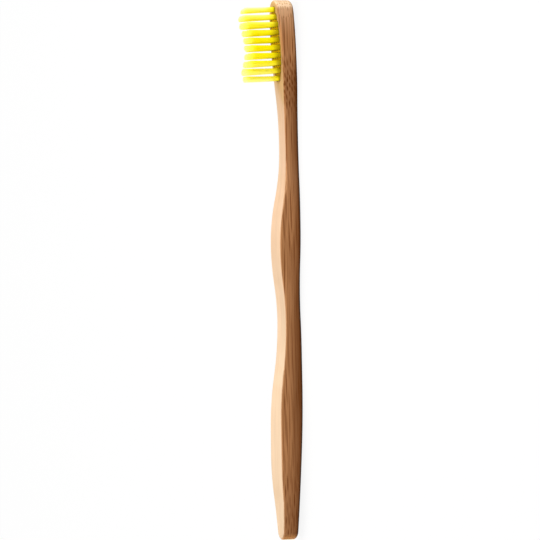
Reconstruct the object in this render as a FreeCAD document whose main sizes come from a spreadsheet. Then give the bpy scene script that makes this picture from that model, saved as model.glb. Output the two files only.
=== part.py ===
# Toothbrush with a one-piece bamboo handle and nylon tufts, each held by a flat metal anchor.
# The brush lies on its back: +X points to the head, +Z to the bristle tips, and the origin is
# on the resting plane under the middle of its length. Millimetres and degrees throughout.
import FreeCAD, Part
import math
import os
from types import SimpleNamespace

import Sketcher
from FreeCAD import Placement, Rotation, Vector

# Driving sizes. A name that ends in _at is a place along the brush, measured from the head tip,
# and one that ends in _from_tail is measured from the other end.
SIZES = {
    # Handle from the front: an outline of arcs between its widest and narrowest places.
    "brush_length": 190.0,
    "head_width": 12.2,
    "head_nose_inset": 1.5,
    "head_widest_at": 17.0,
    "neck_width": 7.7,
    "neck_narrowest_at": 48.0,
    "grip_width": 10.6,
    "grip_widest_at": 78.0,
    "waist_width": 9.5,
    "palm_width": 11.7,
    "palm_widest_from_tail": 29.0,
    "tail_nose_inset": 2.45,
    # Handle from the side: heights of the bristle face above the resting plane.
    "head_face_slope": 3.8,
    "head_face_length": 33.8,
    "neck_height": 5.1,
    "neck_lowest_at": 55.0,
    "grip_height": 8.2,
    "grip_crest_at": 86.5,
    "waist_height": 6.3,
    "palm_height": 8.9,
    "palm_crest_length": 10.0,
    "palm_crest_from_tail": 30.0,
    "tail_height": 7.5,
    # Handle from the side: the back, which rests on two flat lands.
    "head_lift": 1.4,
    "front_land_at": 53.0,
    "front_land_length": 28.0,
    "hollow_depth": 0.4,
    "rear_land_length": 6.0,
    "rear_land_from_tail": 61.0,
    "tail_lift": 1.6,
    # Rounded edges of the handle.
    "front_edge_radius": 0.8,
    "back_edge_radius": 1.5,
    # Rows of drilled holes on the sloping face of the head, and the bamboo left between them.
    "first_row_at": 3.3,
    "hole_diameter": 1.7,
    "hole_depth": 3.2,
    "row_wall": 0.6,
    "column_wall": 0.6,
    # Tufts: filament folded in half at the bottom of the hole, spreading towards the trimmed tips.
    "tuft_clearance": 0.03,
    "tuft_fold_radius": 0.5,
    "tuft_tip_gap": 0.1,
    "tuft_tip_crown": 0.35,
    "trim_low_height": 10.8,
    "trim_dip": 1.75,
    # Anchors: flat plates across the fold, whose ends bite into the wall of the hole.
    "anchor_thickness": 0.25,
    "anchor_height": 1.4,
    "anchor_bite": 0.2,
    "folded_filament_depth": 0.7,
    # How far the sawn blank and the cuts run past the finished handle.
    "cut_overrun": 2.0,
}

# How far from the grip to the palm the waist is narrowest in plan, and lowest in side view.
WAIST_PLAN_SHARE = 0.42
WAIST_SIDE_SHARE = 0.43

# Tufts in each row, from the head tip, and how much of the trim's dip each row stands above its lowest.
TUFTS_PER_ROW = (2, 3, 4, 4, 4, 4, 4, 4, 3, 2)
ROW_TRIM_SHARES = (0.7, 1.0, 0.65, 0.25, 0.05, 0.0, 0.15, 0.5, 1.15, 1.15)

# A face whose normal rises by less than this share is a side wall of the handle.
WALL_NORMAL_SHARE = 0.1

SHEET_NAME = "sizes"


class Size:
    """A length, angle or ratio that carries its value and the sheet expression that gives it."""

    def __init__(self, value, text):
        self.value = value
        self.text = text

    def __add__(self, other):
        return Size(self.value + other.value, f"({self.text} + {other.text})")

    def __sub__(self, other):
        return Size(self.value - other.value, f"({self.text} - {other.text})")

    def __mul__(self, other):
        if isinstance(other, Size):
            return Size(self.value * other.value, f"({self.text} * {other.text})")
        return Size(self.value * other, f"({self.text} * {other})")

    def __truediv__(self, other):
        if isinstance(other, Size):
            return Size(self.value / other.value, f"({self.text} / {other.text})")
        return Size(self.value / other, f"({self.text} / {other})")

    def __neg__(self):
        return Size(-self.value, f"(-{self.text})")


ZERO = Size(0.0, "0")


def sine(angle):
    return Size(math.sin(math.radians(angle.value)), f"sin({angle.text})")


def cosine(angle):
    return Size(math.cos(math.radians(angle.value)), f"cos({angle.text})")


def tangent(angle):
    return Size(math.tan(math.radians(angle.value)), f"tan({angle.text})")


def larger(first, second):
    return Size(max(first.value, second.value), f"max({first.text}; {second.text})")


def smaller(first, second):
    return Size(min(first.value, second.value), f"min({first.text}; {second.text})")


def make_sheet(doc):
    """The spreadsheet of driving sizes, and the same sizes by name."""
    sheet = doc.addObject("Spreadsheet::Sheet", SHEET_NAME)
    for row, (name, value) in enumerate(SIZES.items(), start=1):
        sheet.set(f"A{row}", name)
        sheet.set(f"B{row}", str(value))
        sheet.setAlias(f"B{row}", name)
    doc.recompute()
    return SimpleNamespace(**{name: Size(value, f"{SHEET_NAME}.{name}") for name, value in SIZES.items()})


def bind(thing, **formulas):
    """Ties properties of a document object to the sheet."""
    for name, formula in formulas.items():
        thing.setExpression(name, formula.text)


def bind_place(thing, prop, point, slope=None):
    """Ties a placement to the sheet: its base, and its tilt about Y where the slope is given."""
    angle = -slope.value if slope else 0.0
    base = Vector(*(part.value for part in point))
    setattr(thing, prop, Placement(base, Rotation(Vector(0, 1, 0), angle)))
    for letter, part in zip("xyz", point):
        thing.setExpression(f"{prop}.Base.{letter}", part.text)
    if slope:
        thing.setExpression(f"{prop}.Rotation.Angle", (-slope).text)


class Drawing:
    """Collects a sketch's lines, arcs and constraints, so that they are solved together."""

    def __init__(self, sketch):
        self.sketch = sketch
        self.shapes = []
        self.constraints = []
        self.formulas = []

    def add(self, shape):
        self.shapes.append(shape)
        return len(self.shapes) - 1

    def hold(self, kind, *references):
        self.constraints.append(Sketcher.Constraint(kind, *references))

    def hold_size(self, kind, formula, *references):
        self.formulas.append((len(self.constraints), formula.text))
        self.hold(kind, *references, formula.value)

    def pin(self, index, position, x, y):
        """Holds a point of a piece at its place in the sketch."""
        for formula, kind, axis in ((x, "DistanceX", -2), (y, "DistanceY", -1)):
            if formula is ZERO:
                self.hold("PointOnObject", index, position, axis)
            else:
                self.hold_size(kind, formula, -1, 1, index, position)

    def finish(self):
        self.sketch.addGeometry(self.shapes)
        self.sketch.addConstraint(self.constraints)
        for index, text in self.formulas:
            self.sketch.setExpression(f"Constraints[{index}]", text)


class Outline:
    """A closed outline, drawn from station to station with each station tied to the sheet."""

    def __init__(self, drawing, x, y):
        self.drawing = drawing
        self.first = (x, y)
        self.here = (x, y)
        self.pieces = []

    def join(self, index, start, end):
        """Joins a new piece to the end of the last one."""
        if self.pieces:
            last = self.pieces[-1]
            self.drawing.hold("Coincident", last[0], last[2], index, start)
        else:
            self.drawing.pin(index, start, *self.first)
        self.pieces.append((index, start, end))

    def draw_line(self, x, y):
        ends = [Vector(px.value, py.value) for px, py in (self.here, (x, y))]
        self.join(self.drawing.add(Part.LineSegment(*ends)), 1, 2)
        self.here = (x, y)

    def line_to(self, x, y):
        self.draw_line(x, y)
        self.drawing.pin(self.pieces[-1][0], 2, x, y)

    def close(self):
        self.draw_line(*self.first)
        first = self.pieces[0]
        last = self.pieces[-1]
        self.drawing.hold("Coincident", last[0], last[2], first[0], first[1])

    def arc_to(self, x, y, centre_x, centre_y):
        """An arc of under a half circle. Sketches keep arcs anticlockwise, so its ends may swap."""
        centre = Vector(centre_x.value, centre_y.value)
        start = Vector(self.here[0].value, self.here[1].value) - centre
        end = Vector(x.value, y.value) - centre
        angles = [math.atan2(spoke.y, spoke.x) for spoke in (start, end)]
        turn = math.remainder(angles[1] - angles[0], math.tau)
        lowest = angles[0] if turn > 0 else angles[1]
        circle = Part.Circle(centre, Vector(0, 0, 1), start.Length)
        index = self.drawing.add(Part.ArcOfCircle(circle, lowest, lowest + abs(turn)))
        ends = (1, 2) if turn > 0 else (2, 1)
        self.join(index, *ends)
        self.drawing.pin(index, ends[1], x, y)
        self.here = (x, y)
        return index, ends

    def arc_from_level(self, x, y):
        """An arc that leaves this station level, with its centre straight above or below."""
        start_x, start_y = self.here
        run = x - start_x
        rise = y - start_y
        index, ends = self.arc_to(x, y, start_x, start_y + (run * run + rise * rise) / (rise * 2))
        self.drawing.hold("Vertical", index, 3, index, ends[0])

    def arc_to_level(self, x, y):
        """An arc that reaches its station level."""
        start_x, start_y = self.here
        run = x - start_x
        rise = start_y - y
        index, ends = self.arc_to(x, y, x, y + (run * run + rise * rise) / (rise * 2))
        self.drawing.hold("Vertical", index, 3, index, ends[1])

    def ogee_to(self, x, y):
        """Two equal arcs, level at both stations and tangent halfway between them."""
        start_x, start_y = self.here
        self.arc_from_level((start_x + x) / 2, (start_y + y) / 2)
        self.arc_to_level(x, y)

    def nose_arc_to(self, x, y, centre_x):
        """An arc about a point on the centre line."""
        index, _ = self.arc_to(x, y, centre_x, ZERO)
        self.drawing.hold("PointOnObject", index, 3, -1)

    def corner_to(self, x, y):
        """A quarter round whose centre is level with its far end."""
        index, ends = self.arc_to(x, y, self.here[0], y)
        self.drawing.hold("Horizontal", index, 3, index, ends[1])

    def dome_to(self, y):
        """An arc about the upright axis, which it reaches at the given height."""
        side, side_y = self.here
        rise = y - side_y
        index, _ = self.arc_to(ZERO, y, ZERO, y - (side * side + rise * rise) / (rise * 2))
        self.drawing.hold("PointOnObject", index, 3, -2)


def nose_meeting(centre_x, radius, level_x, half_width):
    """Where a nose arc about the centre line meets the flank that is level at the widest place."""
    run = level_x - centre_x
    flank_radius = (run * run + half_width * half_width - radius * radius) / ((half_width - radius) * 2)
    reach = radius / (flank_radius - radius)
    return centre_x - run * reach, (flank_radius - half_width) * reach


def origin_plane(body, role):
    return next(plane for plane in body.Origin.OriginFeatures if plane.Role == role)


def new_body(doc, name):
    body = doc.addObject("PartDesign::Body", name)
    body.Label = name
    return body


def new_sketch(body, name, role):
    sketch = body.newObject("Sketcher::SketchObject", f"{body.Name}_{name}")
    sketch.AttachmentSupport = [(origin_plane(body, role), "")]
    sketch.MapMode = "FlatFace"
    return sketch


def new_feature(body, kind, name, **settings):
    feature = body.newObject(f"PartDesign::{kind}", f"{body.Name}_{name}")
    for prop, value in settings.items():
        setattr(feature, prop, value)
    return feature


def head_tip_height(size):
    """Height of the bristle face at the head tip: up from the neck by a tangent arc and the straight face."""
    arc_length = size.neck_lowest_at - size.head_face_length
    arc_rise = arc_length * tangent(size.head_face_slope / 2)
    return size.neck_height + arc_rise + size.head_face_length * tangent(size.head_face_slope)


def anchor_width(size):
    return size.hole_diameter + size.anchor_bite * 2


def anchor_floor(size):
    """Depth of an anchor's lower edge below the head's face."""
    return size.hole_depth - size.folded_filament_depth


def row_pitch(size):
    return anchor_width(size) + size.row_wall


def column_pitch(size):
    return size.hole_diameter + size.column_wall


def row_places(size, row):
    """Places of one row's tufts on the head's face: along it from the head tip, and across it."""
    along = -(size.first_row_at + row_pitch(size) * row)
    count = TUFTS_PER_ROW[row]
    for column in range(count):
        steps = column - (count - 1) / 2
        yield along, column_pitch(size) * steps if steps else ZERO


def tuft_places(size):
    """Name, row and place of each tuft."""
    for row in range(len(TUFTS_PER_ROW)):
        for column, (along, across) in enumerate(row_places(size, row), start=1):
            yield f"r{row + 1:02d}_c{column}", row, along, across


def on_head(size, along, across, above):
    """Point in the brush's frame from a place on the sloping face of the head and a height above it."""
    rise = sine(size.head_face_slope)
    level = cosine(size.head_face_slope)
    x = size.brush_length / 2 + along * level - above * rise
    z = head_tip_height(size) + along * rise + above * level
    return x, across, z


def blank_width(size):
    return larger(size.head_width, size.palm_width) + size.cut_overrun * 2


def side_profile(sketch, size):
    """Side view of the sawn blank, from the tail end: the bristle face first, then back along the back."""
    def from_tail(place):
        return size.brush_length - place

    tail_end = -size.cut_overrun
    head_end = size.brush_length + size.cut_overrun
    face_run = tangent(size.head_face_slope)
    face_end_height = head_tip_height(size) - size.head_face_length * face_run
    grip_crest = from_tail(size.grip_crest_at)
    palm_crest = size.palm_crest_from_tail + size.palm_crest_length
    waist = grip_crest + (palm_crest - grip_crest) * WAIST_SIDE_SHARE
    front_land = from_tail(size.front_land_at)
    front_land_end = front_land - size.front_land_length
    rear_land = size.rear_land_from_tail + size.rear_land_length

    drawing = Drawing(sketch)
    outline = Outline(drawing, head_end, head_tip_height(size) + size.cut_overrun * face_run)
    outline.line_to(from_tail(size.head_face_length), face_end_height)
    outline.arc_to_level(from_tail(size.neck_lowest_at), size.neck_height)
    outline.ogee_to(grip_crest, size.grip_height)
    outline.ogee_to(waist, size.waist_height)
    outline.ogee_to(palm_crest, size.palm_height)
    outline.line_to(size.palm_crest_from_tail, size.palm_height)
    outline.ogee_to(ZERO, size.tail_height)
    outline.line_to(tail_end, size.tail_height)
    outline.line_to(tail_end, size.tail_lift)
    outline.line_to(ZERO, size.tail_lift)
    outline.ogee_to(size.rear_land_from_tail, ZERO)
    outline.line_to(rear_land, ZERO)
    outline.ogee_to((rear_land + front_land_end) / 2, size.hollow_depth)
    outline.ogee_to(front_land_end, ZERO)
    outline.line_to(front_land, ZERO)
    outline.ogee_to(size.brush_length, size.head_lift)
    outline.line_to(head_end, size.head_lift)
    outline.close()
    drawing.finish()


def plan_waste(sketch, size):
    """Front view of what is milled away along one side: between half the outline and the blank's edge."""
    def from_tail(place):
        return size.brush_length - place

    tail_end = -size.cut_overrun
    head_end = size.brush_length + size.cut_overrun
    beyond = blank_width(size) / 2 + size.cut_overrun

    palm = (size.palm_widest_from_tail, size.palm_width / 2)
    tail_nose = size.palm_width / 2 - size.tail_nose_inset
    head = (from_tail(size.head_widest_at), size.head_width / 2)
    head_nose = size.head_width / 2 - size.head_nose_inset
    head_centre = size.brush_length - head_nose
    grip = from_tail(size.grip_widest_at)
    waist = grip + (size.palm_widest_from_tail - grip) * WAIST_PLAN_SHARE

    drawing = Drawing(sketch)
    outline = Outline(drawing, ZERO, ZERO)
    outline.nose_arc_to(*nose_meeting(tail_nose, tail_nose, *palm), tail_nose)
    outline.arc_to_level(*palm)
    outline.ogee_to(waist, size.waist_width / 2)
    outline.ogee_to(grip, size.grip_width / 2)
    outline.ogee_to(from_tail(size.neck_narrowest_at), size.neck_width / 2)
    outline.ogee_to(*head)
    outline.arc_from_level(*nose_meeting(head_centre, head_nose, *head))
    outline.nose_arc_to(size.brush_length, ZERO, head_centre)
    outline.line_to(head_end, ZERO)
    outline.line_to(head_end, beyond)
    outline.line_to(tail_end, beyond)
    outline.line_to(tail_end, ZERO)
    outline.close()
    drawing.finish()


def tuft_holes(sketch, size):
    """Round holes of all the tufts."""
    drawing = Drawing(sketch)
    radius = size.hole_diameter / 2
    for _, _, along, across in tuft_places(size):
        centre = Vector(along.value, across.value)
        index = drawing.add(Part.Circle(centre, Vector(0, 0, 1), radius.value))
        drawing.hold_size("Radius", radius, index)
        drawing.pin(index, 3, along, across)
    drawing.finish()


def anchor_tracks(sketch, size, row):
    """Slots that the anchors' ends cut in the walls of one row's holes on their way in."""
    drawing = Drawing(sketch)
    for along, across in row_places(size, row):
        left = along - anchor_width(size) / 2
        right = along + anchor_width(size) / 2
        lower = across - size.anchor_thickness / 2
        upper = across + size.anchor_thickness / 2
        outline = Outline(drawing, left, lower)
        outline.line_to(right, lower)
        outline.line_to(right, upper)
        outline.line_to(left, upper)
        outline.close()
    drawing.finish()


def edges_beside_wall(shape, rising):
    """Names of the edges between a side wall and the bristle face, or the back if not rising."""
    names = []
    for number, edge in enumerate(shape.Edges, start=1):
        middle = edge.valueAt((edge.FirstParameter + edge.LastParameter) / 2)
        rises = []
        for face in shape.ancestorsOfType(edge, Part.Face):
            rises.append(face.normalAt(*face.Surface.parameter(middle)).z)
        walls = [rise for rise in rises if abs(rise) < WALL_NORMAL_SHARE]
        others = [rise for rise in rises if abs(rise) >= WALL_NORMAL_SHARE and (rise > 0) == rising]
        if walls and others:
            names.append(f"Edge{number}")
    return names


def cut_into_head(body, size, name, depth):
    """A straight cut down from the sloping face of the head, and the empty sketch of its outline."""
    sketch = new_sketch(body, name, "XY_Plane")
    head_tip = (size.brush_length, ZERO, head_tip_height(size))
    bind_place(sketch, "AttachmentOffset", head_tip, size.head_face_slope)
    cut = new_feature(body, "Pocket", f"{name}_cut", Profile=sketch, Type="Length", Refine=False)
    bind(cut, Length=depth)
    return sketch


def make_handle(doc, size):
    """One length of bamboo: sawn to its side profile, milled to its outline, rounded and drilled."""
    body = new_body(doc, "handle")
    bind_place(body, "Placement", (-(size.brush_length / 2), ZERO, ZERO))

    profile = new_sketch(body, "side_profile", "XZ_Plane")
    side_profile(profile, size)
    blank = new_feature(body, "Pad", "blank", Profile=profile, Midplane=True)
    bind(blank, Length=blank_width(size))

    waste = new_sketch(body, "plan_waste", "XY_Plane")
    plan_waste(waste, size)
    side_cut = new_feature(body, "Pocket", "side_cut", Profile=waste, Type="ThroughAll", Reversed=True)
    doc.recompute()
    both_sides = new_feature(body, "Mirrored", "both_sides", Originals=[side_cut])
    both_sides.MirrorPlane = (origin_plane(body, "XZ_Plane"), [""])
    body.Tip = both_sides
    doc.recompute()

    front_edge = new_feature(body, "Fillet", "front_edge")
    front_edge.Base = (both_sides, edges_beside_wall(both_sides.Shape, True))
    bind(front_edge, Radius=size.front_edge_radius)
    doc.recompute()
    back_edge = new_feature(body, "Fillet", "back_edge")
    back_edge.Base = (front_edge, edges_beside_wall(front_edge.Shape, False))
    bind(back_edge, Radius=size.back_edge_radius)
    doc.recompute()

    tuft_holes(cut_into_head(body, size, "tuft_holes", size.hole_depth), size)
    for row in range(len(TUFTS_PER_ROW)):
        anchor_tracks(cut_into_head(body, size, f"anchor_tracks_{row + 1}", anchor_floor(size)), size, row)
    return body


def make_tuft(doc, size, name, row, along, across):
    """A folded bundle of filament: a plug in the hole, and a spreading brush with a crowned tip."""
    body = new_body(doc, f"tuft_{name}")
    bind_place(body, "Placement", on_head(size, along, across, ZERO), size.head_face_slope)
    root_radius = size.hole_diameter / 2 - size.tuft_clearance
    root_end = size.tuft_clearance - size.hole_depth
    tip = size.trim_low_height + size.trim_dip * ROW_TRIM_SHARES[row]
    tip_diameter = smaller(row_pitch(size), column_pitch(size)) - size.tuft_tip_gap

    profile = new_sketch(body, "profile", "XZ_Plane")
    drawing = Drawing(profile)
    outline = Outline(drawing, ZERO, root_end)
    outline.line_to(root_radius - size.tuft_fold_radius, root_end)
    outline.corner_to(root_radius, root_end + size.tuft_fold_radius)
    outline.line_to(root_radius, ZERO)
    outline.line_to(tip_diameter / 2, tip - size.tuft_tip_crown)
    outline.dome_to(tip)
    outline.close()
    drawing.finish()
    bundle = new_feature(body, "Revolution", "bundle", Profile=profile)
    bundle.ReferenceAxis = (profile, ["V_Axis"])

    slot = new_sketch(body, "anchor_slot", "YZ_Plane")
    half_slot = size.anchor_thickness / 2 + size.tuft_clearance
    slot_floor = -anchor_floor(size)
    slot_top = slot_floor + size.anchor_height + size.tuft_clearance
    drawing = Drawing(slot)
    outline = Outline(drawing, -half_slot, slot_floor)
    outline.line_to(half_slot, slot_floor)
    outline.line_to(half_slot, slot_top)
    outline.line_to(-half_slot, slot_top)
    outline.close()
    drawing.finish()
    new_feature(body, "Pocket", "anchor_slot_cut", Profile=slot, Type="ThroughAll", Midplane=True)
    return body


def make_anchors(doc, size):
    """All the anchors, each lying along the brush at the bottom of its track."""
    plates = []
    for name, _, along, across in tuft_places(size):
        plate = doc.addObject("Part::Box", f"anchor_{name}")
        bind(plate, Length=anchor_width(size), Width=size.anchor_thickness, Height=size.anchor_height)
        start = along - anchor_width(size) / 2
        side = across - size.anchor_thickness / 2
        bind_place(plate, "Placement", on_head(size, start, side, -anchor_floor(size)), size.head_face_slope)
        plates.append(plate)
    anchors = doc.addObject("Part::Compound", "tuft_anchors")
    anchors.Label = "tuft_anchors"
    anchors.Links = plates
    return anchors


def check(doc, pieces):
    """Stops where an object failed to build or a piece has no sound solid."""
    failed = [thing.Name for thing in doc.Objects if {"Invalid", "Error"} & set(thing.State)]
    if failed:
        raise RuntimeError(f"failed objects: {failed}")
    for piece in pieces:
        shape = piece.Shape
        if shape.isNull() or not shape.isValid() or not shape.Solids:
            raise RuntimeError(f"no sound solid in {piece.Label}")


def main():
    doc = FreeCAD.newDocument("toothbrush")
    size = make_sheet(doc)
    pieces = [make_handle(doc, size)]
    for name, row, along, across in tuft_places(size):
        pieces.append(make_tuft(doc, size, name, row, along, across))
    pieces.append(make_anchors(doc, size))
    doc.recompute()
    check(doc, pieces)

    os.makedirs("parts", exist_ok=True)
    for piece in pieces:
        piece.Shape.exportStep(f"parts/{piece.Label}.step")
        print(piece.Label, len(piece.Shape.Solids), "solids", round(piece.Shape.Volume, 3), "mm3")


main()
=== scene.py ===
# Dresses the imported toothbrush: a bamboo handle, nylon filament tufts, flat-wire anchors and a plain stage.
import math

import bmesh
import bpy
import numpy as np
from bpy.props import FloatProperty, FloatVectorProperty, IntProperty, PointerProperty
from mathutils import Matrix, Vector


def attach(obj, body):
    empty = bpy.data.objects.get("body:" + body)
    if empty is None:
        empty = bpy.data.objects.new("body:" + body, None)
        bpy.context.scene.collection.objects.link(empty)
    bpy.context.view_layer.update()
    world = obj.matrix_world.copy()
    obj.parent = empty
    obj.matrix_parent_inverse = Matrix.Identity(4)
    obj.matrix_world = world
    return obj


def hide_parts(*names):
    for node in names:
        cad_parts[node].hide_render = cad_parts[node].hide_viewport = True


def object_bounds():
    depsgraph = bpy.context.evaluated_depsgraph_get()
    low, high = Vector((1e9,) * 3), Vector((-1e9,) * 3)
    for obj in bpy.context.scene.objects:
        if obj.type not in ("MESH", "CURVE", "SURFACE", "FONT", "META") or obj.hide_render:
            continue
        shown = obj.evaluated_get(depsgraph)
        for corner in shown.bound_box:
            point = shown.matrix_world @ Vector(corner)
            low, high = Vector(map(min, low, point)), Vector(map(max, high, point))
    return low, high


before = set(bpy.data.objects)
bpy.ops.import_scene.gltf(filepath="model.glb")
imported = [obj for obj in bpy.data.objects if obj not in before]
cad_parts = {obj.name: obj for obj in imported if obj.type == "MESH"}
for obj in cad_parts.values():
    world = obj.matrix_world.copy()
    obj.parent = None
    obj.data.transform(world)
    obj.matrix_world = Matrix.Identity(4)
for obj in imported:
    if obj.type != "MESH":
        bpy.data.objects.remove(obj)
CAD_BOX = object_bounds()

bl_info = {
    "name": "Bamboo toothbrush",
    "version": (1, 0, 0),
    "blender": (4, 5, 0),
    "location": "3D View > Sidebar > Toothbrush",
    "description": "Finishes the bamboo handle, grows the nylon tufts and sets the studio stage",
    "category": "Object",
}

MM = 0.001
BODY = "root"
SEED = 36

# How each row of tufts was trimmed and has spread, from the head tip: the slant of its cut, which is
# positive where its headward side is shorter, how wide its tips have opened, and how far they lean headwards.
ROW_SLANT_SHARES = (0.75, 0.35, 0.15, 0.05, -0.15, -0.2, 0.3, 0.15, 0.1, 0.0)
ROW_SPREAD_SHARES = (0.95, 0.95, 1.12, 1.0, 0.96, 1.0, 1.02, 1.05, 1.12, 0.98)
ROW_LEAN_SHARES = (0.3, 0.5, 0.65, 0.75, 1.0, 1.0, 0.6, 0.5, 0.5, 1.1)

# The lower share of a tuft's seat, which gives the radius of its root.
ROOT_SHARE = 0.5
# Distance between layers of filament in a hole, in filament diameters. They nest a little.
LAYER_PITCH = 0.95
# Stations along a filament, as shares of its free length from the head's face to the tip.
FREE_SHARES = (0.0, 0.2, 0.42, 0.64, 0.84, 1.0)
# Turns of the fold under the anchor, as shares of a half turn.
FOLD_SHARES = (0.25, 0.5, 0.75)
# The rounded end of a filament: how far each ring stands from the tip and how wide it is, in its radius.
END_SHARES = ((0.5, 0.87), (0.13, 0.5))
# How much of a filament's tone is chance. The rest is its place in the tuft, which sets its painted light.
TONE_CHANCE = 0.2

# The section of the burr round a hole, as shares of its width and height, and the sides of its ring.
RIM_SHARES = ((0.1, 0.0), (0.35, 1.0), (1.0, 0.1), (1.0, -0.4), (0.1, -0.4))
RIM_SIDES = 24
# Edges that turn more than this stay sharp on the handle, such as the rims of its holes.
SHARP_TURN = math.radians(40)
# Corners of the handle's faces that are nearer than this are one corner.
JOIN_DISTANCE = 0.001 * MM

# The floor lies this far under the brush and reaches this far from it, in metres.
FLOOR_GAP = 0.02 * MM
FLOOR_REACH = 4.0
# Softboxes: name, place and side in metres, and which of the studio's powers feeds each.
SOFTBOXES = (
    ("overhead softbox", (-0.1, 0.3, 0.8), 0.8, "key_power"),
    ("head softbox", (0.8, -0.2, 0.3), 0.7, "top_power"),
    ("tail softbox", (-0.8, -0.1, 0.12), 0.5, "tail_power"),
    ("side softbox", (0.2, -0.88, 0.35), 0.8, "side_power"),
)

# Settings of the nodes: how a range is eased, what a math node does and what kind of value a mix node takes.
SMOOTH = {"interpolation_type": "SMOOTHSTEP"}
PLUS = {"operation": "ADD"}
MINUS = {"operation": "SUBTRACT"}
TIMES = {"operation": "MULTIPLY"}
TIMES_PLUS = {"operation": "MULTIPLY_ADD"}
LARGER = {"operation": "MAXIMUM"}
UNSIGNED = {"operation": "ABSOLUTE"}
ABOVE = {"operation": "GREATER_THAN"}
NUMBERS = {"data_type": "FLOAT"}
VECTORS = {"data_type": "VECTOR"}
COLOURS = {"data_type": "RGBA"}
TINT = {**COLOURS, "blend_type": "MULTIPLY"}
# Sockets of a mix node: its share, and both inputs and the output for each kind of value.
SHARE = 0
NUMBER_A, NUMBER_B, NUMBER_OUT = 2, 3, 0
VECTOR_A, VECTOR_B, VECTOR_OUT = 4, 5, 1
COLOUR_A, COLOUR_B, COLOUR_OUT = 6, 7, 2

# The oval field of tufts on the head: its middle along the brush and its half length and half width.
FIELD_MIDDLE, FIELD_LENGTH, FIELD_WIDTH = 79.0 * MM, 12.8 * MM, 5.1 * MM
FIELD_SCALE = (1 / FIELD_LENGTH, 1 / FIELD_WIDTH, 0.0)
FIELD_SHIFT = (-FIELD_MIDDLE / FIELD_LENGTH, 0.0, 0.0)
# Where the field and the margin round its tufts start and are full, as shares of the oval. The margin carries
# painted shade.
FIELD_RANGE = {"From Min": 1.1, "From Max": 0.9}
MARGIN_SHADE_RANGE = {"From Min": 0.65, "From Max": 0.95}

# Where zones of the handle start and are full, along the brush: the neck, the head and the browner face.
NECK_RANGE = {"From Min": 22 * MM, "From Max": 35 * MM}
HEAD_RANGE = {"From Min": 59 * MM, "From Max": 67 * MM}
BROWNER_RANGE = {"From Min": -60 * MM, "From Max": 75 * MM}
# How far two of them lie askew on the neck: the step along the brush for each step across it.
HEAD_ASKEW = -1.2
# Its slant across the neck makes the browner face darker on the -Y side, which is painted shade.
BROWNER_SHADE_ASKEW = -14.0
# How squarely the surface faces up or headwards where the face, the lower edges with their painted shade,
# the back and the ends start and are full, and how much rounder the neck's edges were sanded.
FACE_RANGE = {"From Min": 0.5, "From Max": 0.95}
LOWER_EDGE_SHADE_RANGE = {"From Min": -0.15, "From Max": -0.9}
FLAT_BACK_RANGE = {"From Min": -0.94, "From Max": -0.995}
NOSE_RANGE = {"From Min": 0.02, "From Max": 0.55}
TAIL_RANGE = {"From Min": -0.3, "From Max": -0.9}
NECK_ROUNDING = 0.55
# A surface counts as a side, or as flat, where it faces that way by more than this.
SIDE_LIMIT = 0.75
FLAT_LIMIT = 0.7
# The darker wood low on the sides, along the brush, partly the wood near the culm's skin and partly painted
# shade of the underside near the floor: the share of it that the head and the neck keep, and how high above
# the resting plane it reaches, on the neck and on the tail.
SKIN_AND_SHADE_SHARE_RANGE = {"From Min": 86 * MM, "From Max": 64 * MM, "To Min": 0.15, "To Max": 1.0}
SKIN_AND_SHADE_DEPTH_RANGE = {"From Min": 30 * MM, "From Max": -60 * MM, "To Min": 4.6 * MM, "To Max": 7.0 * MM}

# How the fibres wander: over what length, and how far in all across the brush and up.
WANDER_LENGTH = 40 * MM
WANDER_REACH = (0.0, 1.2 * MM, 0.5 * MM)
NOISE_MIDDLE = (0.5, 0.5, 0.5)
# Stretches along the brush where the fibres run out at a slant, on the neck and on the tail: where each
# starts and stops, and how much the cut fibres darken it.
RUNOUTS = ((53 * MM, 78 * MM, 1.8), (-130 * MM, -55 * MM, 0.8))
# How far each streak starts after its neighbour, as a share of its length, so that the streaks are staggered.
STREAK_STAGGER = 0.62
# How far bundles stray from even rows, where a bundle fades out, as shares of the spacing, how dark single
# bundles are, and how much darker those are that run out.
BUNDLE_STRAY = 0.35
BUNDLE_RANGE = {"From Min": 0.38, "From Max": 0.18}
BUNDLE_WEIGHT_RANGE = {"From Min": 0.35, "From Max": 0.6, "To Min": 0.4, "To Max": 0.8}
CUT_WEIGHT = 2.0
# Fine streaks: where they start and are full in their noise, and how dark they are off the ends and on them.
FINE_RANGE = {"From Min": 0.48, "From Max": 0.6}
FINE_SHARE_RANGE = {"To Min": 0.4, "To Max": 0.0}
# How strongly streaks show on the sides, the sanded face, the head's sloping face and between the tufts.
SIDE_STRENGTH, FACE_STRENGTH, SLOPE_STRENGTH, FIELD_STRENGTH = 0.72, 0.3, 1.0, 0.2
# Growth differs slowly: the scale of its patches, from their size along, across and up, and how much it
# changes the tone.
GROWTH_SCALE = (1 / (30 * MM), 1 / (3 * MM), 1 / (3 * MM))
GROWTH_RANGE = {"From Min": 0.25, "From Max": 0.75, "To Min": 0.93, "To Max": 1.04}
# Roughness of the sanded wood, from pale grain to streaks, and of the head, which was only milled.
SANDED_ROUGHNESS_RANGE = {"From Min": 0.3, "From Max": 0.7, "To Min": 0.48, "To Max": 0.62}
MILLED_ROUGHNESS = 0.95
# Where torn, pale fibres start and are full in the burr's noise.
TORN_RANGE = {"From Min": 0.45, "From Max": 0.8}

# Filaments: the shares of the rise where the pale tip, which is painted light, starts and is full, the power
# that holds it near the end, how much of it each side of the head shows, and how far from the field's middle
# rows stand free.
TIP_RANGE = {"From Min": 0.7, "From Max": 1.0}
TIP_POWER = 3.5
TIP_LIGHT_SIDE_RANGE = {"From Min": -4.0 * MM, "From Max": 4.0 * MM, "To Min": 0.3, "To Max": 1.0}
FREE_ROW_RANGE = {"From Min": 3.0 * MM, "From Max": 14.0 * MM}
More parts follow.
